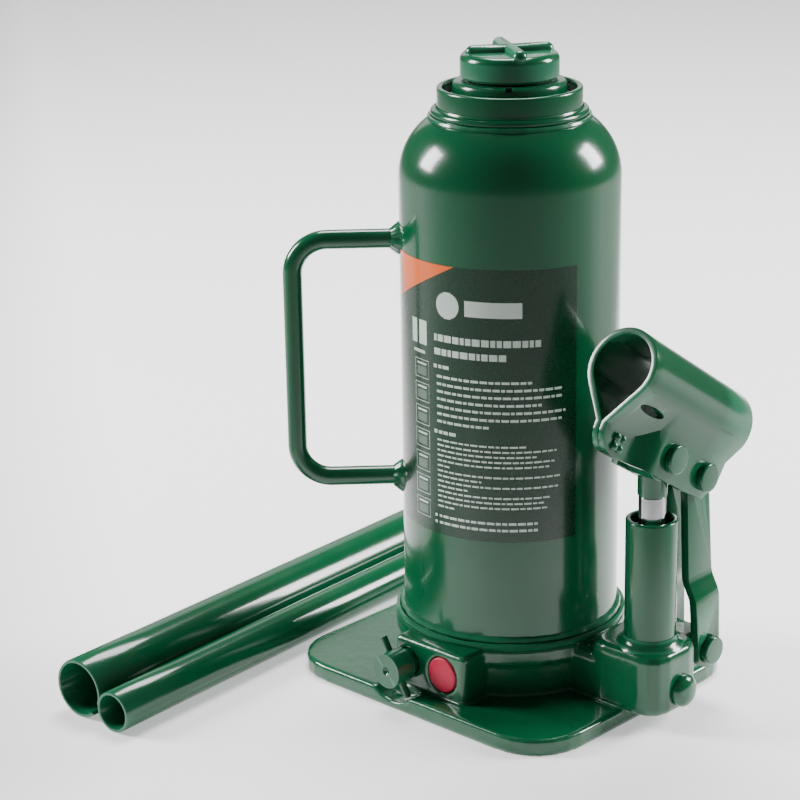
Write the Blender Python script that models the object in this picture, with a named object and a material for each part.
"""Hydraulic bottle jack with its two loose handle tubes.

Metres, +Z up.  The ram stands on the Z axis, the foot of the base is at z = 0 and the hand pump
is on the +X side.  The handle tubes lie on the floor beside the base, on the -X side.
"""
import math

import bmesh
import bpy
from mathutils import Matrix, Vector

# Clearances
GAP = 0.0003            # between pieces that seat on each other
RUN = 0.0003            # round a piece that turns or slides

# Base casting
BASE_X_LOW = -0.0610
BASE_X_HIGH = 0.0616
BASE_HALF_Y = 0.0553
BASE_CORNER_R = 0.0200
PLATE_T = 0.0060
BOSS_LIP = 0.0020             # beyond the tank wall
BOSS_FLANGE_LIP = 0.0032
BOSS_FLANGE_Z = 0.0180
BOSS_TOP_Z = 0.0240
BOSS_FLOOR_Z = 0.0170

# Reservoir, cylinder and top nut
TANK_R = 0.0380
TANK_WALL = 0.0025
SHOULDER_Z = 0.1820
SHOULDER_R = 0.0240
NECK_R = 0.0269
NECK_RISE = 0.0200            # above the start of the shoulder
NECK_H = 0.0040
SEAL_T = 0.0014
CYLINDER_WALL = 0.0028
NUT_R = 0.0247
NUT_STAND = 0.0065            # above the neck
NUT_H = 0.0160
NUT_RIM_T = 0.0021
NUT_RECESS_DEPTH = 0.0065
WIPER_T = 0.0032

# Ram, extension screw and saddle
RAM_R = 0.0193
RAM_STAND = 0.0023            # above the top nut
RAM_LOW_Z = 0.0360
RAM_FLOOR_T = 0.0080
RAM_STUD_R = 0.0080
RAM_STUD_LOW_Z = 0.0210
RAM_NOTCH_W = 0.0026
RAM_NOTCH_H = 0.0014
RAM_NOTCH_ANGLE = math.radians(-50.0)
SCREW_R = 0.0133
SCREW_LOW_Z = 0.0750
SCREW_NECK_R = 0.0060
SCREW_NECK_L = 0.0100
STOP_WASHER_T = 0.0020
SADDLE_R = 0.0168
SADDLE_SEAT_GAP = 0.0006
SADDLE_H = 0.0086
SADDLE_RIB_W = 0.0034
SADDLE_RIB_H = 0.0025
SADDLE_RIB_TURN = math.radians(55.0)
SADDLE_SOCKET_H = 0.0055

# Valve block on the -Y side
VALVE_BLOCK_X = (-0.0130, 0.0195)
VALVE_STANDOFF = 0.0090       # block face beyond the tank wall
VALVE_BLOCK_TOP_Z = 0.0238
RELEASE_X = -0.0070
RELEASE_Z = 0.0150
RELEASE_KNOB_R = 0.0062
RELEASE_KNOB_L = 0.0110
RELEASE_SHANK_R = 0.0048
RELEASE_BORE_L = 0.0160
RELEASE_PIN_R = 0.00135
RELEASE_PIN_L = 0.0230
RELEASE_PIN_STAND = 0.0060
RELEASE_PIN_TILT = math.radians(30.0)
O_RING_T = 0.0022
OVERLOAD_X = 0.0092
OVERLOAD_Z = 0.0146
OVERLOAD_CAP_R = 0.0064
OVERLOAD_CAP_T = 0.0042
OVERLOAD_SCREW_R = 0.0045
OVERLOAD_SCREW_L = 0.0050
OVERLOAD_BORE_L = 0.0200
SPRING_R = 0.0026
SPRING_WIRE_R = 0.00045
SPRING_TURNS = 3
BALL_R = 0.0024

# Hand pump
PUMP_STANDOFF = 0.0250        # pump axis beyond the tank wall
PUMP_BLOCK_BACK = 0.0190
PUMP_BLOCK_FRONT = 0.0126
PUMP_BLOCK_Y = (-0.0130, 0.0140)
PUMP_BLOCK_Z = (0.0050, 0.0280)
PUMP_BLOCK_CORNER_R = 0.0080
ARM_HALF_Y = 0.0125
ARM_TOP_Z = 0.0230
BARREL_R = 0.0089
BARREL_TOP_Z = 0.0730
BARREL_LOW_Z = 0.0173
PUMP_BORE_R = 0.0050
PACKING_BORE_R = 0.0070
PACKING_BORE_DEPTH = 0.0070
PACKING_T = 0.0036
PLUNGER_R = 0.00465
PLUNGER_HEAD_R = 0.0051
PLUNGER_HEAD_Z = 0.0813
PLUNGER_LOW_Z = 0.0300
PLUNGER_EYE_R = 0.0085
PLUNGER_EYE_HALF_X = 0.0048
EYE_SLOT_HALF_Y = 0.0053
EYE_SLOT_HALF_Z = 0.0048
PASSAGE_R = 0.0028
PASSAGE_Y = 0.0020
PASSAGE_Z = 0.0126
PASSAGE_END_X = 0.0160
PLUG_HEAD_R = 0.0057
PLUG_HEAD_H = 0.0030

# Lever pins: (y, z) of each axis, all along X through x = PUMP_X
PLUNGER_PIN = (0.0, 0.0960)
LINK_TOP_PIN = (0.0175, 0.0848)
LINK_LOW_PIN = (0.0220, 0.0200)
PIN_R = 0.0040
PIN_HEAD_R = 0.0050
PIN_HEAD_T = 0.0024
PIN_TAIL = 0.0024
CLIP_T = 0.0010
LUG_HALF_X = 0.0057
LUG_R = 0.0068
LINK_T = 0.0030
LINK_HALF_W = 0.0065
LINK_END_R = 0.0065
JOGGLE_START = 0.0200
JOGGLE_END = 0.0270

# Handle socket, in its own frame: u along the tube from its open end, v across it
SOCKET_R = 0.0132
SOCKET_T = 0.0022
SOCKET_L = 0.0640
SOCKET_PLUNGER_U = 0.0332
SOCKET_PIN_DROP = 0.0200
SOCKET_DEPTH = 0.0280
SOCKET_HALF_GAP = 0.0062
PINCH_END_U = 0.0160
SPREAD_START_U = 0.0250
PINCH_V = -0.0190
SPREAD_V = -0.0122
RIVET_UV = (0.0090, -0.0235)
RIVET_R = 0.0018

# Carrying handle
CARRY_ANGLE = math.radians(225.0)
CARRY_ROD_R = 0.00335
CARRY_STANDOFF = 0.0355       # grip beyond the tank wall
CARRY_Z = (0.0745, 0.1605)
CARRY_BEND_R = 0.0120

# Oil filler plug
FILLER_ANGLE = math.radians(135.0)
FILLER_Z = 0.1500
FILLER_HOLE_R = 0.0040
FILLER_HEAD_R = 0.0070

# Loose handle tubes
TUBE_ANGLE = math.radians(94.0)
TUBE_L = 0.2600
LOWER_TUBE_R = 0.0106
UPPER_TUBE_R = 0.0074
TUBE_WALL = 0.0014
UPPER_TUBE_END = (-0.0657, -0.1325)
LOWER_TUBE_START = 0.0015
SLOT_W = 0.0050
SLOT_L = 0.0110

# Worked out from the sizes above
BOSS_R = TANK_R + BOSS_LIP
BOSS_FLANGE_R = TANK_R + BOSS_FLANGE_LIP
NECK_LOW_Z = SHOULDER_Z + NECK_RISE
NECK_TOP_Z = NECK_LOW_Z + NECK_H
NUT_TOP_Z = NECK_TOP_Z + NUT_STAND
RAM_TOP_Z = NUT_TOP_Z + RAM_STAND
SADDLE_LOW_Z = RAM_TOP_Z + SADDLE_SEAT_GAP
SADDLE_TOP_Z = SADDLE_LOW_Z + SADDLE_H
VALVE_FACE_Y = -(TANK_R + VALVE_STANDOFF)
RELEASE_KNOB_END_Y = VALVE_FACE_Y - RELEASE_KNOB_L
RELEASE_BORE_END_Y = VALVE_FACE_Y + RELEASE_BORE_L
RELEASE_PIN_Y = VALVE_FACE_Y - RELEASE_PIN_STAND
OVERLOAD_BORE_END_Y = VALVE_FACE_Y + OVERLOAD_BORE_L
PUMP_X = TANK_R + PUMP_STANDOFF
PUMP_BLOCK_X = (PUMP_X - PUMP_BLOCK_BACK, PUMP_X + PUMP_BLOCK_FRONT)
CARRY_REACH = TANK_R + CARRY_STANDOFF
TANK_LOW_Z = BOSS_TOP_Z + 2 * GAP + SEAL_T
NUT_LOW_Z = NUT_TOP_Z - NUT_H
CYLINDER_R = NUT_R
CYLINDER_BORE_R = CYLINDER_R - CYLINDER_WALL
CYLINDER_LOW_Z = BOSS_FLOOR_Z + 2 * GAP + SEAL_T
CYLINDER_TOP_Z = NUT_LOW_Z - 2 * GAP - SEAL_T
NECK_BORE_R = NUT_R + GAP
RAM_BORE_R = SCREW_R + RUN
SADDLE_RIB_TOP_Z = SADDLE_TOP_Z + SADDLE_RIB_H
LINK_LOW_OFFSET = LUG_HALF_X + RUN
LINK_TOP_OFFSET = SOCKET_HALF_GAP - RUN - LINK_T
PIN_HOLE_R = PIN_R + 0.0002
SOCKET_TILT = math.atan2(PLUNGER_PIN[1] - LINK_TOP_PIN[1], LINK_TOP_PIN[0] - PLUNGER_PIN[0])
SOCKET_LINK_U = SOCKET_PLUNGER_U + math.hypot(
    LINK_TOP_PIN[0] - PLUNGER_PIN[0], LINK_TOP_PIN[1] - PLUNGER_PIN[1])
TUBE_SPACING = math.sqrt(
    (LOWER_TUBE_R + UPPER_TUBE_R + GAP) ** 2 - (LOWER_TUBE_R - UPPER_TUBE_R) ** 2)

ALONG_X = Matrix.Rotation(math.radians(90.0), 4, "Y")
ALONG_MINUS_Y = Matrix.Rotation(math.radians(90.0), 4, "X")

PAINTS = {
    "green_enamel": ((0.010, 0.100, 0.045), 0.25, 0.0),
    "green_casting": ((0.012, 0.105, 0.048), 0.40, 0.0),
    "machined_steel": ((0.42, 0.42, 0.42), 0.35, 1.0),
    "chromed_steel": ((0.70, 0.70, 0.70), 0.12, 1.0),
    "black_steel": ((0.03, 0.03, 0.03), 0.45, 0.8),
    "rubber": ((0.02, 0.02, 0.02), 0.70, 0.0),
    "red_plastic": ((0.50, 0.010, 0.050), 0.40, 0.0),
}


def clear_scene():
    for old in list(bpy.data.objects):
        bpy.data.objects.remove(old, do_unlink=True)


def paint(name):
    """The Principled material of that finish, made once."""
    if name in bpy.data.materials:
        return bpy.data.materials[name]
    colour, roughness, metallic = PAINTS[name]
    made = bpy.data.materials.new(name)
    made.use_nodes = True
    shader = made.node_tree.nodes["Principled BSDF"]
    shader.inputs["Base Color"].default_value = (*colour, 1.0)
    shader.inputs["Roughness"].default_value = roughness
    shader.inputs["Metallic"].default_value = metallic
    return made


def add_mesh(name, bm, finish=None, pivot=None):
    """Turn a bmesh drawn in world coordinates into an object whose origin is its pivot."""
    bmesh.ops.recalc_face_normals(bm, faces=bm.faces)
    origin = Vector(pivot) if pivot else Vector()
    bmesh.ops.translate(bm, verts=bm.verts, vec=-origin)
    mesh = bpy.data.meshes.new(name)
    bm.to_mesh(mesh)
    bm.free()
    mesh.shade_smooth()
    mesh.set_sharp_from_angle(angle=math.radians(35.0))
    made = bpy.data.objects.new(name, mesh)
    made.location = origin
    bpy.context.scene.collection.objects.link(made)
    if finish:
        mesh.materials.append(paint(finish))
    return made


def as_tool(made):
    """Mark an object as a tool that shapes another one and isn't a piece itself."""
    made.hide_render = True
    made.display_type = "WIRE"
    return made


def combine(target, tool, operation="DIFFERENCE"):
    step = target.modifiers.new(tool.name, "BOOLEAN")
    step.operation = operation
    step.solver = "EXACT"
    step.object = as_tool(tool)


def soften(target, width, segments=2):
    step = target.modifiers.new("edge_round", "BEVEL")
    step.width = width
    step.segments = segments
    step.limit_method = "ANGLE"
    step.angle_limit = math.radians(50.0)


def turned(profile, place=None, segments=28, ring=False):
    """Spin an (r, z) profile about Z; a ring's profile is closed and stays off the axis."""
    bm = bmesh.new()
    points = [bm.verts.new((r, 0.0, z)) for r, z in profile]
    ends = points[1:] + points[:1] if ring else points[1:]
    edges = [bm.edges.new(pair) for pair in zip(points, ends)]
    bmesh.ops.spin(bm, geom=points + edges, cent=(0, 0, 0), axis=(0, 0, 1),
                   angle=math.tau, steps=segments, use_merge=True, use_duplicate=False)
    bmesh.ops.remove_doubles(bm, verts=bm.verts, dist=0.000001)
    if place:
        bmesh.ops.transform(bm, verts=bm.verts, matrix=place)
    return bm


def rod(radius, low, high, place=None, segments=20):
    return turned([(0, low), (radius, low), (radius, high), (0, high)], place, segments)


def tube(outer, inner, low, high, place=None, segments=28):
    profile = [(inner, low), (outer, low), (outer, high), (inner, high)]
    return turned(profile, place, segments, ring=True)


def prism(outline, low, high, place=None):
    """Extrude a flat (x, y) outline from z = low to z = high."""
    bm = bmesh.new()
    face = bm.faces.new([bm.verts.new((x, y, low)) for x, y in outline])
    grown = bmesh.ops.extrude_face_region(bm, geom=[face])
    lifted = [v for v in grown["geom"] if isinstance(v, bmesh.types.BMVert)]
    bmesh.ops.translate(bm, verts=lifted, vec=(0, 0, high - low))
    if place:
        bmesh.ops.transform(bm, verts=bm.verts, matrix=place)
    return bm


def ball(centre, radius):
    bm = bmesh.new()
    bmesh.ops.create_uvsphere(bm, u_segments=10, v_segments=7, radius=radius)
    bmesh.ops.translate(bm, verts=bm.verts, vec=centre)
    return bm


def arc(centre, radius, start, stop, steps):
    """Points on an arc, from the start angle to the stop angle, both included."""
    return [(centre[0] + radius * math.cos(start + (stop - start) * i / steps),
             centre[1] + radius * math.sin(start + (stop - start) * i / steps))
            for i in range(steps + 1)]


def rounded_rectangle(x_low, x_high, y_low, y_high, radius, steps=6):
    quarter = math.pi / 2
    corners = [(x_high - radius, y_high - radius), (x_low + radius, y_high - radius),
               (x_low + radius, y_low + radius), (x_high - radius, y_low + radius)]
    points = []
    for turn, corner in enumerate(corners):
        points += arc(corner, radius, turn * quarter, (turn + 1) * quarter, steps)
    return points


def box(low, high):
    outline = [(low[0], low[1]), (high[0], low[1]), (high[0], high[1]), (low[0], high[1])]
    return prism(outline, low[2], high[2])


def across(y, z, x=PUMP_X):
    """Place a shape turned about Z so that its axis lies along +X through (x, y, z)."""
    return Matrix.Translation((x, y, z)) @ ALONG_X


def inward(x, z, y=VALVE_FACE_Y):
    """Place a turned shape so that its +Z points out of the valve block's face, along -Y."""
    return Matrix.Translation((x, y, z)) @ ALONG_MINUS_Y


def radial(angle, z):
    """Place a turned shape so that its +Z points straight out from the tank at that angle."""
    return Matrix.Translation((0, 0, z)) @ Matrix.Rotation(angle, 4, "Z") @ ALONG_X


# ---------------------------------------------------------------- base and valves

def base_casting():
    """Foot plate, round boss, valve block, pump arm, pump block and link lug in one casting."""
    plate = rounded_rectangle(BASE_X_LOW, BASE_X_HIGH, -BASE_HALF_Y, BASE_HALF_Y, BASE_CORNER_R)
    base = add_mesh("base_casting", prism(plate, 0.0, PLATE_T), "green_casting")
    soften(base, 0.0008, 1)

    boss = [(0, 0.003), (BOSS_R, 0.003), (BOSS_R, BOSS_FLANGE_Z - 0.0006),
            (BOSS_FLANGE_R, BOSS_FLANGE_Z), (BOSS_FLANGE_R, BOSS_TOP_Z - 0.001),
            (BOSS_FLANGE_R - 0.001, BOSS_TOP_Z), (0, BOSS_TOP_Z)]
    combine(base, add_mesh("tool_boss", turned(boss, segments=40)), "UNION")

    block = box((VALVE_BLOCK_X[0], VALVE_FACE_Y, 0.004),
                (VALVE_BLOCK_X[1], -BOSS_R + 0.012, VALVE_BLOCK_TOP_Z))
    valve_block = add_mesh("tool_valve_block", block)
    soften(valve_block, 0.0012, 1)
    combine(base, valve_block, "UNION")

    arm = add_mesh("tool_arm", box((0.030, -ARM_HALF_Y, 0.0045),
                                   (PUMP_BLOCK_X[0] + 0.010, ARM_HALF_Y, ARM_TOP_Z)))
    soften(arm, 0.0030, 2)
    combine(base, arm, "UNION")

    outline = rounded_rectangle(*PUMP_BLOCK_X, *PUMP_BLOCK_Y, PUMP_BLOCK_CORNER_R, 3)
    pump_block = add_mesh("tool_pump_block", prism(outline, *PUMP_BLOCK_Z))
    soften(pump_block, 0.0028, 2)
    combine(base, pump_block, "UNION")
    combine(base, add_mesh("tool_lug", link_lug()), "UNION")

    for tool in base_cutters():
        combine(base, tool)


def link_lug():
    """Lug on the pump block that holds the link's lower pin, as an outline in (y, z)."""
    y, z = LINK_LOW_PIN
    root_y = PUMP_BLOCK_Y[1] - 0.006
    outline = [(root_y, z - LUG_R)]
    outline += arc((y, z), LUG_R, -math.pi / 2, math.pi / 2, 8)
    outline += [(root_y, z + LUG_R)]
    place = Matrix.Translation((PUMP_X, 0, 0)) @ Matrix(((0, 0, 1, 0), (1, 0, 0, 0),
                                                         (0, 1, 0, 0), (0, 0, 0, 1)))
    return prism(outline, -LUG_HALF_X, LUG_HALF_X, place)


def base_cutters():
    """Every bore, pocket and oil way in the casting."""
    well = rod(CYLINDER_R + GAP, BOSS_FLOOR_Z, BOSS_TOP_Z + 0.001, segments=32)
    barrel_seat = rod(BARREL_R + GAP, BARREL_LOW_Z - GAP, PUMP_BLOCK_Z[1] + 0.002,
                      Matrix.Translation((PUMP_X, 0, 0)), 24)
    suction = rod(PASSAGE_R - 0.0004, PASSAGE_Z, BARREL_LOW_Z + 0.001,
                  Matrix.Translation((PUMP_X, PASSAGE_Y / 2, 0)), 16)
    delivery = rod(PASSAGE_R - 0.0008, PASSAGE_Z, BOSS_FLOOR_Z + 0.001,
                   Matrix.Translation((PASSAGE_END_X + 0.004, PASSAGE_Y, 0)), 14)
    passage = rod(PASSAGE_R, PASSAGE_END_X, PUMP_BLOCK_X[1] + 0.002,
                  across(PASSAGE_Y, PASSAGE_Z, 0.0), 20)
    pin_hole = rod(PIN_HOLE_R, -0.02, 0.02, across(*LINK_LOW_PIN), 16)
    release = [(0, RELEASE_BORE_END_Y), (RELEASE_SHANK_R + RUN, RELEASE_BORE_END_Y),
               (RELEASE_SHANK_R + RUN, VALVE_FACE_Y - 0.002), (0, VALVE_FACE_Y - 0.002)]
    release_bore = turned([(r, -y) for r, y in release], inward(RELEASE_X, RELEASE_Z, 0.0), 20)
    step_y = VALVE_FACE_Y + OVERLOAD_CAP_T + GAP
    overload = [(0, OVERLOAD_BORE_END_Y), (OVERLOAD_SCREW_R + GAP, OVERLOAD_BORE_END_Y),
                (OVERLOAD_SCREW_R + GAP, step_y), (OVERLOAD_CAP_R + GAP, step_y),
                (OVERLOAD_CAP_R + GAP, VALVE_FACE_Y - 0.002), (0, VALVE_FACE_Y - 0.002)]
    overload_bore = turned([(r, -y) for r, y in overload], inward(OVERLOAD_X, OVERLOAD_Z, 0.0), 20)
    sweep = rod(RELEASE_PIN_L / 2 + 0.001, 0.001, RELEASE_KNOB_L + 0.012,
                inward(RELEASE_X, RELEASE_Z), 28)
    shapes = {"tool_well": well, "tool_barrel_seat": barrel_seat, "tool_suction": suction,
              "tool_delivery": delivery, "tool_passage": passage, "tool_pin_hole": pin_hole,
              "tool_release_bore": release_bore, "tool_overload_bore": overload_bore,
              "tool_pin_sweep": sweep}
    return [add_mesh(name, shape) for name, shape in shapes.items()]


def release_valve():
    """Needle screw with a round knob, turned by the short pin through it."""
    pivot = (RELEASE_X, VALVE_FACE_Y, RELEASE_Z)
    out = VALVE_FACE_Y - RELEASE_KNOB_END_Y
    inner = VALVE_FACE_Y - (RELEASE_BORE_END_Y - 2 * BALL_R - 2 * GAP)
    groove = -0.0050
    groove_r = RELEASE_SHANK_R - 0.0013
    profile = [(0, inner), (RELEASE_SHANK_R - 0.0015, inner),
               (RELEASE_SHANK_R, inner + 0.0015), (RELEASE_SHANK_R, groove - O_RING_T / 2 - GAP),
               (groove_r, groove - O_RING_T / 2 - GAP), (groove_r, groove + O_RING_T / 2 + GAP),
               (RELEASE_SHANK_R, groove + O_RING_T / 2 + GAP), (RELEASE_SHANK_R, 0.0015),
               (RELEASE_KNOB_R, 0.0022), (RELEASE_KNOB_R, out - 0.0012),
               (RELEASE_KNOB_R - 0.0012, out), (0.0020, out), (0, out - 0.0014)]
    place = inward(RELEASE_X, RELEASE_Z)
    screw = add_mesh("release_valve_screw", turned(profile, place, 20), "green_enamel", pivot)
    lean = Matrix.Rotation(-RELEASE_PIN_TILT, 4, "Y")
    pin_place = Matrix.Translation((RELEASE_X, RELEASE_PIN_Y, RELEASE_Z)) @ lean
    reach = RELEASE_KNOB_R + 0.004
    combine(screw, add_mesh("tool_cross_hole", rod(RELEASE_PIN_R + 0.0002, -reach, reach,
                                                   pin_place, 10)))
    half = RELEASE_PIN_L / 2
    tip = 0.0004
    pin = [(0, -half), (RELEASE_PIN_R - tip, -half), (RELEASE_PIN_R, -half + tip),
           (RELEASE_PIN_R, half - tip), (RELEASE_PIN_R - tip, half), (0, half)]
    add_mesh("release_valve_cross_pin", turned(pin, pin_place, 10), "green_enamel", pivot)
    seal = tube(RELEASE_SHANK_R + 0.0001, groove_r + 0.0002, groove - O_RING_T / 2,
                groove + O_RING_T / 2, place, 24)
    add_mesh("release_o_ring", seal, "rubber", pivot)
    add_mesh("release_ball", ball((RELEASE_X, RELEASE_BORE_END_Y - BALL_R - GAP, RELEASE_Z),
                                  BALL_R), "machined_steel")


def overload_valve():
    """Safety valve: plastic cap, set screw, spring and ball in one bore."""
    place = inward(OVERLOAD_X, OVERLOAD_Z)
    cap = [(0, -OVERLOAD_CAP_T), (OVERLOAD_CAP_R, -OVERLOAD_CAP_T), (OVERLOAD_CAP_R, -0.0006),
           (OVERLOAD_CAP_R - 0.0008, 0.0002), (0, 0.0004)]
    add_mesh("overload_cap", turned(cap, place, 20), "red_plastic")
    screw_top = -OVERLOAD_CAP_T - 2 * GAP
    screw_low = screw_top - OVERLOAD_SCREW_L
    screw = add_mesh("overload_screw", rod(OVERLOAD_SCREW_R, screw_low, screw_top, place, 20),
                     "machined_steel")
    slot = box((OVERLOAD_X - 0.006, VALVE_FACE_Y - screw_top - 0.002, OVERLOAD_Z - 0.0006),
               (OVERLOAD_X + 0.006, VALVE_FACE_Y - screw_top + 0.0012, OVERLOAD_Z + 0.0006))
    combine(screw, add_mesh("tool_driver_slot", slot))
    ball_y = OVERLOAD_BORE_END_Y - BALL_R - GAP
    add_mesh("overload_ball", ball((OVERLOAD_X, ball_y, OVERLOAD_Z), BALL_R), "machined_steel")
    margin = SPRING_WIRE_R + GAP
    start_y = VALVE_FACE_Y - screw_low + margin
    overload_spring(start_y, ball_y - BALL_R - margin)


def overload_spring(start_y, end_y):
    steps = 8 * SPRING_TURNS
    curve = bpy.data.curves.new("overload_spring", "CURVE")
    curve.dimensions = "3D"
    curve.bevel_depth = SPRING_WIRE_R
    curve.bevel_resolution = 0
    curve.use_fill_caps = True
    line = curve.splines.new("POLY")
    line.points.add(steps)
    for i, point in enumerate(line.points):
        angle = math.tau * i / 8
        point.co = (OVERLOAD_X + SPRING_R * math.cos(angle), start_y + (end_y - start_y) * i / steps,
                    OVERLOAD_Z + SPRING_R * math.sin(angle), 1.0)
    curve.materials.append(paint("machined_steel"))
    made = bpy.data.objects.new("overload_spring", curve)
    bpy.context.scene.collection.objects.link(made)


def passage_parts():
    """Domed plug that closes the oil way, and the two check balls inside it."""
    start = PUMP_BLOCK_X[1] + GAP
    dome = [(PLUG_HEAD_R * math.cos(a), start + 0.0008 + PLUG_HEAD_H * math.sin(a))
            for a in [math.radians(x) for x in (0, 30, 60)]]
    profile = [(0, start - 0.008), (PASSAGE_R - GAP, start - 0.008), (PASSAGE_R - GAP, start),
               (PLUG_HEAD_R, start)] + dome + [(0, start + 0.0008 + PLUG_HEAD_H)]
    place = across(PASSAGE_Y, PASSAGE_Z, 0.0)
    add_mesh("passage_plug", turned(profile, place, 16), "green_casting")
    for name, x in (("inlet_ball", PUMP_X), ("outlet_ball", PUMP_X - 0.013)):
        add_mesh(name, ball((x, PASSAGE_Y, PASSAGE_Z), BALL_R), "machined_steel")


# ---------------------------------------------------------------- tank, cylinder, ram

def reservoir_shell():
    """Drawn oil tank with a domed shoulder and a welded neck ring."""
    centre = (TANK_R - SHOULDER_R, SHOULDER_Z)
    inner_r = SHOULDER_R - TANK_WALL
    outer_end = math.asin((NECK_LOW_Z - SHOULDER_Z) / SHOULDER_R)
    inner_top = NECK_LOW_Z - TANK_WALL
    inner_end = math.asin((inner_top - SHOULDER_Z) / inner_r)
    profile = [(TANK_R - TANK_WALL, TANK_LOW_Z), (TANK_R, TANK_LOW_Z)]
    profile += arc(centre, SHOULDER_R, 0.0, outer_end, 6)
    profile += [(NECK_R, NECK_LOW_Z + 0.0004), (NECK_R, NECK_TOP_Z - 0.0006),
                (NECK_R - 0.0006, NECK_TOP_Z), (NECK_BORE_R, NECK_TOP_Z), (NECK_BORE_R, inner_top)]
    profile += arc(centre, inner_r, inner_end, 0.0, 3)
    shell = add_mesh("reservoir_shell", turned(profile, segments=40, ring=True), "green_enamel")
    hole = rod(FILLER_HOLE_R, TANK_R - 3 * TANK_WALL, TANK_R + 0.004, radial(FILLER_ANGLE, FILLER_Z), 20)
    combine(shell, add_mesh("tool_filler_hole", hole))


def tank_seals():
    add_mesh("reservoir_base_seal", tube(TANK_R - 0.0001, TANK_R - TANK_WALL + 0.0001,
                                         BOSS_TOP_Z + GAP, BOSS_TOP_Z + GAP + SEAL_T,
                                         segments=32), "rubber")
    add_mesh("cylinder_base_gasket", tube(CYLINDER_R - 0.0002, CYLINDER_BORE_R + 0.0002,
                                          BOSS_FLOOR_Z + GAP, BOSS_FLOOR_Z + GAP + SEAL_T),
             "rubber")
    add_mesh("cylinder_top_gasket", tube(CYLINDER_R - 0.0002, CYLINDER_BORE_R + 0.0002,
                                         CYLINDER_TOP_Z + GAP, CYLINDER_TOP_Z + GAP + SEAL_T),
             "rubber")


def oil_filler_plug():
    start = TANK_R + GAP + 0.0004
    stem = FILLER_HOLE_R - GAP
    profile = [(0, start - 0.0055), (stem, start - 0.0055), (stem, start), (FILLER_HEAD_R, start),
               (FILLER_HEAD_R, start + 0.0012), (FILLER_HEAD_R - 0.0012, start + 0.0022),
               (0, start + 0.0026)]
    add_mesh("oil_filler_plug", turned(profile, radial(FILLER_ANGLE, FILLER_Z), 24), "rubber")


def main_cylinder():
    cylinder = tube(CYLINDER_R, CYLINDER_BORE_R, CYLINDER_LOW_Z, CYLINDER_TOP_Z, segments=32)
    add_mesh("main_cylinder", cylinder, "machined_steel")


def top_nut():
    """Collar that clamps the tank and guides the ram; its recess holds the wiper."""
    recess_r = NUT_R - NUT_RIM_T
    floor_z = NUT_TOP_Z - NUT_RECESS_DEPTH
    profile = [(RAM_R + RUN, NUT_LOW_Z), (NUT_R, NUT_LOW_Z), (NUT_R, NUT_TOP_Z - 0.0008),
               (NUT_R - 0.0008, NUT_TOP_Z), (recess_r + 0.0004, NUT_TOP_Z),
               (recess_r, NUT_TOP_Z - 0.0006), (recess_r, floor_z), (RAM_R + RUN, floor_z)]
    add_mesh("top_nut", turned(profile, segments=32, ring=True), "green_enamel")
    wiper_low = floor_z + GAP
    wiper = [(RAM_R + RUN, wiper_low), (recess_r - GAP, wiper_low),
             (recess_r - GAP, wiper_low + WIPER_T - 0.001), (RAM_R + RUN, wiper_low + WIPER_T)]
    add_mesh("ram_wiper_seal", turned(wiper, segments=32, ring=True), "rubber")


def ram():
    """Hollow ram with its piston parts stacked on a stud at its foot."""
    profile = [(0, RAM_STUD_LOW_Z), (RAM_STUD_R, RAM_STUD_LOW_Z), (RAM_STUD_R, RAM_LOW_Z),
               (RAM_R, RAM_LOW_Z), (RAM_R, RAM_TOP_Z - 0.0015), (RAM_R - 0.0005, RAM_TOP_Z - 0.0005),
               (RAM_R - 0.0015, RAM_TOP_Z), (RAM_BORE_R + 0.001, RAM_TOP_Z),
               (RAM_BORE_R, RAM_TOP_Z - 0.001), (RAM_BORE_R, RAM_LOW_Z + RAM_FLOOR_T),
               (0, RAM_LOW_Z + RAM_FLOOR_T)]
    tube_piece = add_mesh("ram_tube", turned(profile, segments=32), "green_enamel")
    notch = box((RAM_BORE_R + 0.0020, -RAM_NOTCH_W / 2, RAM_TOP_Z - RAM_NOTCH_H),
                (RAM_R + 0.0020, RAM_NOTCH_W / 2, RAM_TOP_Z + 0.0020))
    spin = Matrix.Rotation(RAM_NOTCH_ANGLE, 4, "Z")
    bmesh.ops.transform(notch, verts=notch.verts, matrix=spin)
    combine(tube_piece, add_mesh("tool_ram_notch", notch))
    bore = RAM_STUD_R + GAP
    washer_low = RAM_LOW_Z - GAP - 0.0040
    add_mesh("ram_piston_washer", tube(CYLINDER_BORE_R - RUN, bore, washer_low, RAM_LOW_Z - GAP),
             "machined_steel")
    seal_low = washer_low - GAP - 0.0064
    lip = [(bore, seal_low + 0.002), (CYLINDER_BORE_R - 0.003, seal_low + 0.002),
           (CYLINDER_BORE_R - RUN, seal_low), (CYLINDER_BORE_R - RUN, washer_low - GAP),
           (bore, washer_low - GAP)]
    add_mesh("ram_cup_seal", turned(lip, ring=True), "rubber")
    nut_high = seal_low + 0.002 - GAP
    corners = arc((0, 0), 0.0125, 0.0, math.tau * 5 / 6, 5)
    nut = add_mesh("ram_retaining_nut", prism(corners, nut_high - 0.0042, nut_high),
                   "machined_steel")
    combine(nut, add_mesh("tool_nut_bore", rod(bore, nut_high - 0.006, nut_high + 0.002)))


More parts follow.
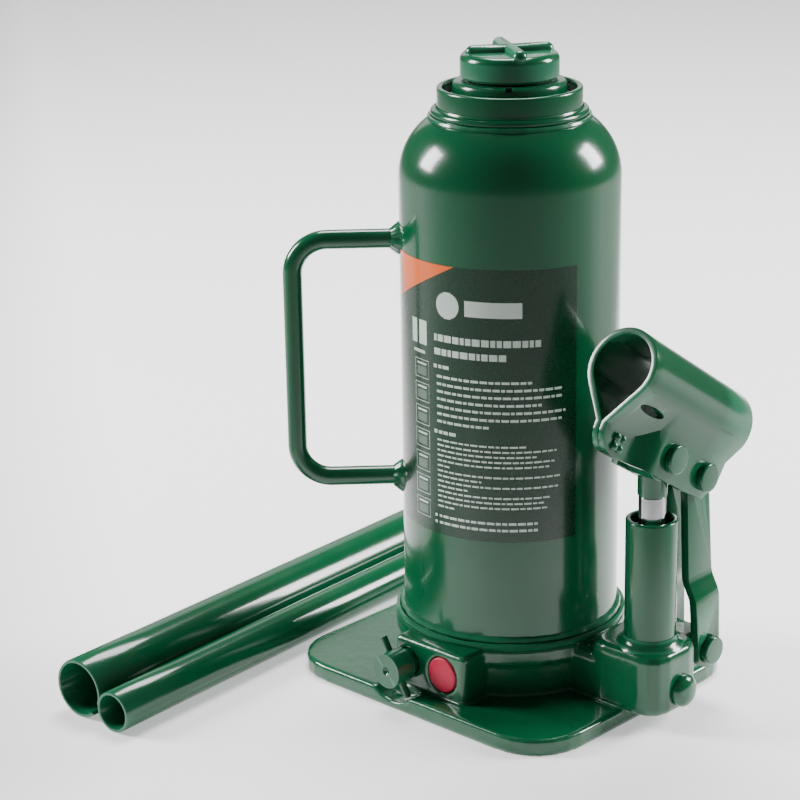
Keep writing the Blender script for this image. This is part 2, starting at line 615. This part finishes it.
def extension_screw():
    """Extension screw inside the ram, its stop washer, and the saddle pressed on its top."""
    neck_low = SCREW_LOW_Z - SCREW_NECK_L
    shoulder = SADDLE_LOW_Z - GAP
    profile = [(0, neck_low), (SCREW_NECK_R, neck_low), (SCREW_NECK_R, SCREW_LOW_Z),
               (SCREW_R - 0.001, SCREW_LOW_Z), (SCREW_R, SCREW_LOW_Z + 0.001),
               (SCREW_R, shoulder), (SCREW_NECK_R, shoulder),
               (SCREW_NECK_R, SADDLE_LOW_Z + SADDLE_SOCKET_H - GAP),
               (0, SADDLE_LOW_Z + SADDLE_SOCKET_H - GAP)]
    add_mesh("extension_screw", turned(profile, segments=28), "machined_steel")
    washer_high = SCREW_LOW_Z - GAP
    add_mesh("screw_stop_washer", tube(SCREW_R - 0.0003, SCREW_NECK_R + RUN,
                                       washer_high - STOP_WASHER_T, washer_high, segments=32),
             "machined_steel")
    saddle()


def saddle():
    profile = [(0, SADDLE_LOW_Z), (SADDLE_R - 0.001, SADDLE_LOW_Z), (SADDLE_R, SADDLE_LOW_Z + 0.001)]
    edge = 0.0025
    profile += arc((SADDLE_R - edge, SADDLE_TOP_Z - edge), edge, 0.0, math.pi / 2, 3)
    profile += [(0, SADDLE_TOP_Z)]
    pad = add_mesh("saddle", turned(profile, segments=32), "green_casting")
    for turn in (SADDLE_RIB_TURN, SADDLE_RIB_TURN + math.pi / 2):
        half = SADDLE_RIB_W / 2
        reach = SADDLE_R - edge
        rib = box((-reach, -half, SADDLE_LOW_Z + 0.003), (reach, half, SADDLE_RIB_TOP_Z))
        bmesh.ops.transform(rib, verts=rib.verts, matrix=Matrix.Rotation(turn, 4, "Z"))
        combine(pad, add_mesh("tool_saddle_rib", rib), "UNION")
    hole = rod(SCREW_NECK_R + GAP, SADDLE_LOW_Z - 0.002, SADDLE_LOW_Z + SADDLE_SOCKET_H)
    combine(pad, add_mesh("tool_saddle_socket", hole))


def carry_handle():
    """Round rod bent square and welded to the tank at both ends."""
    start = TANK_R + 0.0006
    outer = CARRY_REACH
    bend = CARRY_BEND_R
    low, high = CARRY_Z
    path = [(start, high)]
    path += arc((outer - bend, high - bend), bend, math.pi / 2, 0.0, 6)
    path += arc((outer - bend, low + bend), bend, 0.0, -math.pi / 2, 6)
    path += [(start, low)]
    curve = bpy.data.curves.new("carry_handle", "CURVE")
    curve.dimensions = "3D"
    curve.bevel_depth = CARRY_ROD_R
    curve.bevel_resolution = 2
    curve.use_fill_caps = True
    line = curve.splines.new("POLY")
    line.points.add(len(path) - 1)
    for point, (reach, z) in zip(line.points, path):
        point.co = (reach * math.cos(CARRY_ANGLE), reach * math.sin(CARRY_ANGLE), z, 1.0)
    curve.materials.append(paint("green_enamel"))
    made = bpy.data.objects.new("carry_handle", curve)
    bpy.context.scene.collection.objects.link(made)


# ---------------------------------------------------------------- hand pump and lever

def pump():
    """Barrel screwed into the casting, its packing, and the plunger with its cup seal."""
    place = Matrix.Translation((PUMP_X, 0, 0))
    shelf = BARREL_TOP_Z - PACKING_BORE_DEPTH
    barrel = [(PUMP_BORE_R, BARREL_LOW_Z), (BARREL_R, BARREL_LOW_Z), (BARREL_R, BARREL_TOP_Z - 0.0006),
              (BARREL_R - 0.0006, BARREL_TOP_Z), (PACKING_BORE_R, BARREL_TOP_Z),
              (PACKING_BORE_R, shelf), (PUMP_BORE_R, shelf)]
    add_mesh("pump_barrel", turned(barrel, place, 24, ring=True), "green_enamel")
    packing = tube(PACKING_BORE_R - GAP, PLUNGER_R + RUN, shelf + GAP, shelf + GAP + PACKING_T,
                   place, 24)
    add_mesh("plunger_packing", packing, "rubber")

    pivot = (PUMP_X, *PLUNGER_PIN)
    stem_r = PLUNGER_R - 0.0016
    seal_h = 0.0040
    seal_low = PLUNGER_LOW_Z + 0.0012
    eye_z = PLUNGER_PIN[1]
    rod_profile = [(0, PLUNGER_LOW_Z), (PLUNGER_R - 0.0004, PLUNGER_LOW_Z),
                   (PLUNGER_R - 0.0004, seal_low), (stem_r, seal_low),
                   (stem_r, seal_low + seal_h), (PLUNGER_R, seal_low + seal_h),
                   (PLUNGER_R, PLUNGER_HEAD_Z), (PLUNGER_HEAD_R, PLUNGER_HEAD_Z),
                   (PLUNGER_HEAD_R, eye_z - PLUNGER_EYE_R / 2), (0, eye_z - PLUNGER_EYE_R / 2)]
    plunger = add_mesh("pump_plunger", turned(rod_profile, place, 24), "chromed_steel", pivot)
    eye = rod(PLUNGER_EYE_R, -PLUNGER_EYE_HALF_X, PLUNGER_EYE_HALF_X, across(*PLUNGER_PIN), 20)
    combine(plunger, add_mesh("tool_eye", eye), "UNION")
    slot = rod(1.0, -0.02, 0.02, segments=20)
    shape = across(*PLUNGER_PIN) @ Matrix.Diagonal((EYE_SLOT_HALF_Z, EYE_SLOT_HALF_Y, 1.0, 1.0))
    bmesh.ops.transform(slot, verts=slot.verts, matrix=shape)
    combine(plunger, add_mesh("tool_eye_slot", slot))
    seal = tube(PLUNGER_R + 0.0001, stem_r + 0.0002, seal_low + GAP, seal_low + seal_h - GAP,
                place, 24)
    add_mesh("plunger_cup_seal", seal, "rubber", pivot)


def strap(side):
    """One link plate, lofted from its low pin to its high pin and joggled on the way."""
    length = math.hypot(LINK_TOP_PIN[0] - LINK_LOW_PIN[0], LINK_TOP_PIN[1] - LINK_LOW_PIN[1])
    angles = [math.radians(a) for a in (12, 30, 50, 66)]
    low_end = [(-LINK_END_R * math.cos(a), LINK_END_R * math.sin(a)) for a in angles]
    high_end = [(length + LINK_END_R * math.cos(a), LINK_END_R * math.sin(a))
                for a in reversed(angles)]
    middle = [(JOGGLE_START, LINK_HALF_W), (JOGGLE_END, LINK_HALF_W)]
    bm = bmesh.new()
    rings = []
    for along, half in low_end + middle + high_end:
        offset = LINK_LOW_OFFSET if along <= JOGGLE_START else LINK_TOP_OFFSET
        corners = [(offset, half), (offset + LINK_T, half), (offset + LINK_T, -half), (offset, -half)]
        rings.append([bm.verts.new((side * x, w, along)) for x, w in corners])
    for ring, following in zip(rings, rings[1:]):
        for i in range(4):
            j = (i + 1) % 4
            bm.faces.new((ring[i], ring[j], following[j], following[i]))
    bm.faces.new(rings[0])
    bm.faces.new(rings[-1])
    lean = math.atan2(LINK_TOP_PIN[0] - LINK_LOW_PIN[0], LINK_TOP_PIN[1] - LINK_LOW_PIN[1])
    place = Matrix.Translation((PUMP_X, *LINK_LOW_PIN)) @ Matrix.Rotation(-lean, 4, "X")
    bmesh.ops.transform(bm, verts=bm.verts, matrix=place)
    return bm


def link():
    pivot = (PUMP_X, *LINK_LOW_PIN)
    for name, side in (("link_plate_outer", 1), ("link_plate_inner", -1)):
        plate = add_mesh(name, strap(side), "green_enamel", pivot)
        for end, centre in (("low", LINK_LOW_PIN), ("high", LINK_TOP_PIN)):
            hole = rod(PIN_HOLE_R, -0.02, 0.02, across(*centre), 16)
            combine(plate, add_mesh(f"tool_{name}_{end}_hole", hole))


def lever_pin(name, clip_name, centre, half_stack, pivot):
    """Headed pin along X, held by a split ring clip at its -X end."""
    head = half_stack + GAP
    clip_high = -half_stack - GAP
    tail = clip_high - CLIP_T - PIN_TAIL
    groove_r = PIN_R - 0.0008
    profile = [(0, tail), (PIN_R - 0.0006, tail), (PIN_R, tail + 0.0006),
               (PIN_R, clip_high - CLIP_T - GAP), (groove_r, clip_high - CLIP_T - GAP),
               (groove_r, clip_high + GAP / 2), (PIN_R, clip_high + GAP / 2), (PIN_R, head),
               (PIN_HEAD_R, head), (PIN_HEAD_R, head + PIN_HEAD_T - 0.0006),
               (PIN_HEAD_R - 0.0006, head + PIN_HEAD_T), (0, head + PIN_HEAD_T)]
    add_mesh(name, turned(profile, across(*centre), 16), "green_enamel", pivot)
    gap_angle = math.radians(35.0)
    inner = groove_r + GAP
    outline = arc((0, 0), PIN_R + 0.0018, gap_angle, math.tau - gap_angle, 10)
    outline += arc((0, 0), inner, math.tau - gap_angle, gap_angle, 10)
    clip = prism(outline, clip_high - CLIP_T, clip_high - 0.0001, across(*centre))
    add_mesh(clip_name, clip, "black_steel", pivot)


def lever_pins():
    link_pivot = (PUMP_X, *LINK_TOP_PIN)
    flange = SOCKET_HALF_GAP + SOCKET_T
    lever_pin("link_bottom_pin", "link_bottom_clip", LINK_LOW_PIN, LINK_LOW_OFFSET + LINK_T,
              (PUMP_X, *LINK_LOW_PIN))
    lever_pin("link_top_pin", "link_top_clip", LINK_TOP_PIN, flange, link_pivot)
    lever_pin("plunger_pin", "plunger_clip", PLUNGER_PIN, flange, link_pivot)


def socket_frame():
    """Matrix from (x across, v up across the tube, u along it) to the world."""
    along = Vector((0, math.cos(SOCKET_TILT), -math.sin(SOCKET_TILT)))
    up = Vector((0, math.sin(SOCKET_TILT), math.cos(SOCKET_TILT)))
    mouth = Vector((PUMP_X, *PLUNGER_PIN)) - SOCKET_PLUNGER_U * along + SOCKET_PIN_DROP * up
    turn = Matrix((Vector((1, 0, 0)), up, along)).transposed().to_4x4()
    return Matrix.Translation(mouth) @ turn


def sheet_side(half_width, joint_v, radius, steps=14):
    """One face of the folded sheet: up one flange, round the tube, down the other."""
    reach = math.hypot(half_width, joint_v)
    start = math.atan2(joint_v, half_width) + math.acos(min(1.0, radius / reach))
    around = arc((0, 0), radius, start, math.pi - start, steps)
    return ([(half_width, -SOCKET_DEPTH), (half_width, joint_v)] + around
            + [(-half_width, joint_v), (-half_width, -SOCKET_DEPTH)])


def handle_socket():
    """Folded sheet: a tube with two flanges, pinched at the mouth and spread at the pins."""
    bm = bmesh.new()
    stations = [(0.0, GAP / 2, PINCH_V), (PINCH_END_U, GAP / 2, PINCH_V),
                (SPREAD_START_U, SOCKET_HALF_GAP, SPREAD_V), (SOCKET_L, SOCKET_HALF_GAP, SPREAD_V)]
    outer_rows = []
    inner_rows = []
    for u, half_gap, joint_v in stations:
        outer = sheet_side(half_gap + SOCKET_T, joint_v, SOCKET_R)
        inner = sheet_side(half_gap, joint_v, SOCKET_R - SOCKET_T)
        outer_rows.append([bm.verts.new((x, v, u)) for x, v in outer])
        inner_rows.append([bm.verts.new((x, v, u)) for x, v in inner])
    count = len(outer_rows[0])
    for k in range(len(stations) - 1):
        for rows in (outer_rows, inner_rows):
            for i in range(count - 1):
                bm.faces.new((rows[k][i], rows[k][i + 1], rows[k + 1][i + 1], rows[k + 1][i]))
        for i in (0, count - 1):
            bm.faces.new((outer_rows[k][i], inner_rows[k][i], inner_rows[k + 1][i],
                          outer_rows[k + 1][i]))
    for k in (0, len(stations) - 1):
        for i in range(count - 1):
            bm.faces.new((outer_rows[k][i], outer_rows[k][i + 1], inner_rows[k][i + 1],
                          inner_rows[k][i]))
    frame = socket_frame()
    bmesh.ops.transform(bm, verts=bm.verts, matrix=frame)
    pivot = (PUMP_X, *LINK_TOP_PIN)
    socket = add_mesh("handle_socket", bm, "green_enamel", pivot)
    for name, outline in socket_trims().items():
        flat = frame @ Matrix(((0, 0, 1, 0), (0, 1, 0, 0), (1, 0, 0, 0), (0, 0, 0, 1)))
        combine(socket, add_mesh(name, prism(outline, -0.03, 0.03, flat)))
    holes = {"tool_plunger_pin_hole": (SOCKET_PLUNGER_U, -SOCKET_PIN_DROP, PIN_HOLE_R),
             "tool_link_pin_hole": (SOCKET_LINK_U, -SOCKET_PIN_DROP, PIN_HOLE_R),
             "tool_rivet_hole": (*RIVET_UV, RIVET_R + GAP)}
    for name, (u, v, radius) in holes.items():
        place = frame @ Matrix.Translation((0, v, u)) @ ALONG_X
        combine(socket, add_mesh(name, rod(radius, -0.03, 0.03, place, 16)))
    socket_rivet(frame, pivot)


def socket_trims():
    """Outlines in (u, v) that trim the sheet's corners, cut right through along X."""
    far = SOCKET_L
    tail = [(far - 0.006, -0.040), (far + 0.010, -0.040), (far + 0.010, 0.000),
            (far + 0.001, -0.006), (far - 0.0005, -0.022)]
    front = [(-0.004, -0.040), (0.006, -0.040), (-0.0005, -0.021), (-0.004, -0.021)]
    return {"tool_tail_trim": tail, "tool_front_trim": front}


def socket_rivet(frame, pivot):
    u, v = RIVET_UV
    half = SOCKET_T + GAP / 2 + GAP
    head_r = RIVET_R + 0.0012
    profile = [(0, -half - 0.001), (head_r, -half - 0.001), (head_r, -half), (RIVET_R, -half),
               (RIVET_R, half), (head_r, half), (head_r * 0.8, half + 0.001), (0, half + 0.0013)]
    place = frame @ Matrix.Translation((0, v, u)) @ ALONG_X
    add_mesh("socket_rivet", turned(profile, place, 16), "green_enamel", pivot)


# ---------------------------------------------------------------- loose handle tubes

def handle_tubes():
    """Two steel tubes lying side by side; the thicker one has a bayonet slot at its near end."""
    along = Matrix.Rotation(TUBE_ANGLE, 4, "Z") @ ALONG_X
    left = Vector((-math.sin(TUBE_ANGLE), math.cos(TUBE_ANGLE), 0))
    ahead = Vector((math.cos(TUBE_ANGLE), math.sin(TUBE_ANGLE), 0))
    upper_start = Vector((*UPPER_TUBE_END, UPPER_TUBE_R))
    lower_start = Vector((*UPPER_TUBE_END, LOWER_TUBE_R)) + left * TUBE_SPACING
    lower_start += ahead * LOWER_TUBE_START
    for name, start, radius in (("handle_upper_tube", upper_start, UPPER_TUBE_R),
                                ("handle_lower_tube", lower_start, LOWER_TUBE_R)):
        place = Matrix.Translation(start) @ along
        rim = 0.0003
        profile = [(radius - TUBE_WALL, 0), (radius - rim, 0), (radius, rim), (radius, TUBE_L - rim),
                   (radius - rim, TUBE_L), (radius - TUBE_WALL, TUBE_L)]
        made = add_mesh(name, turned(profile, place, 24, ring=True), "green_enamel", start)
        if name == "handle_lower_tube":
            slot = box((-0.002, -SLOT_W / 2, 0.0), (SLOT_L, SLOT_W / 2, LOWER_TUBE_R + 0.004))
            roll = Matrix.Rotation(math.radians(125.0), 4, "X")
            spot = Matrix.Translation(start) @ Matrix.Rotation(TUBE_ANGLE, 4, "Z") @ roll
            bmesh.ops.transform(slot, verts=slot.verts, matrix=spot)
            combine(made, add_mesh("tool_bayonet_slot", slot))


clear_scene()
base_casting()
release_valve()
overload_valve()
passage_parts()
reservoir_shell()
tank_seals()
oil_filler_plug()
main_cylinder()
top_nut()
ram()
extension_screw()
carry_handle()
pump()
link()
lever_pins()
handle_socket()
handle_tubes()
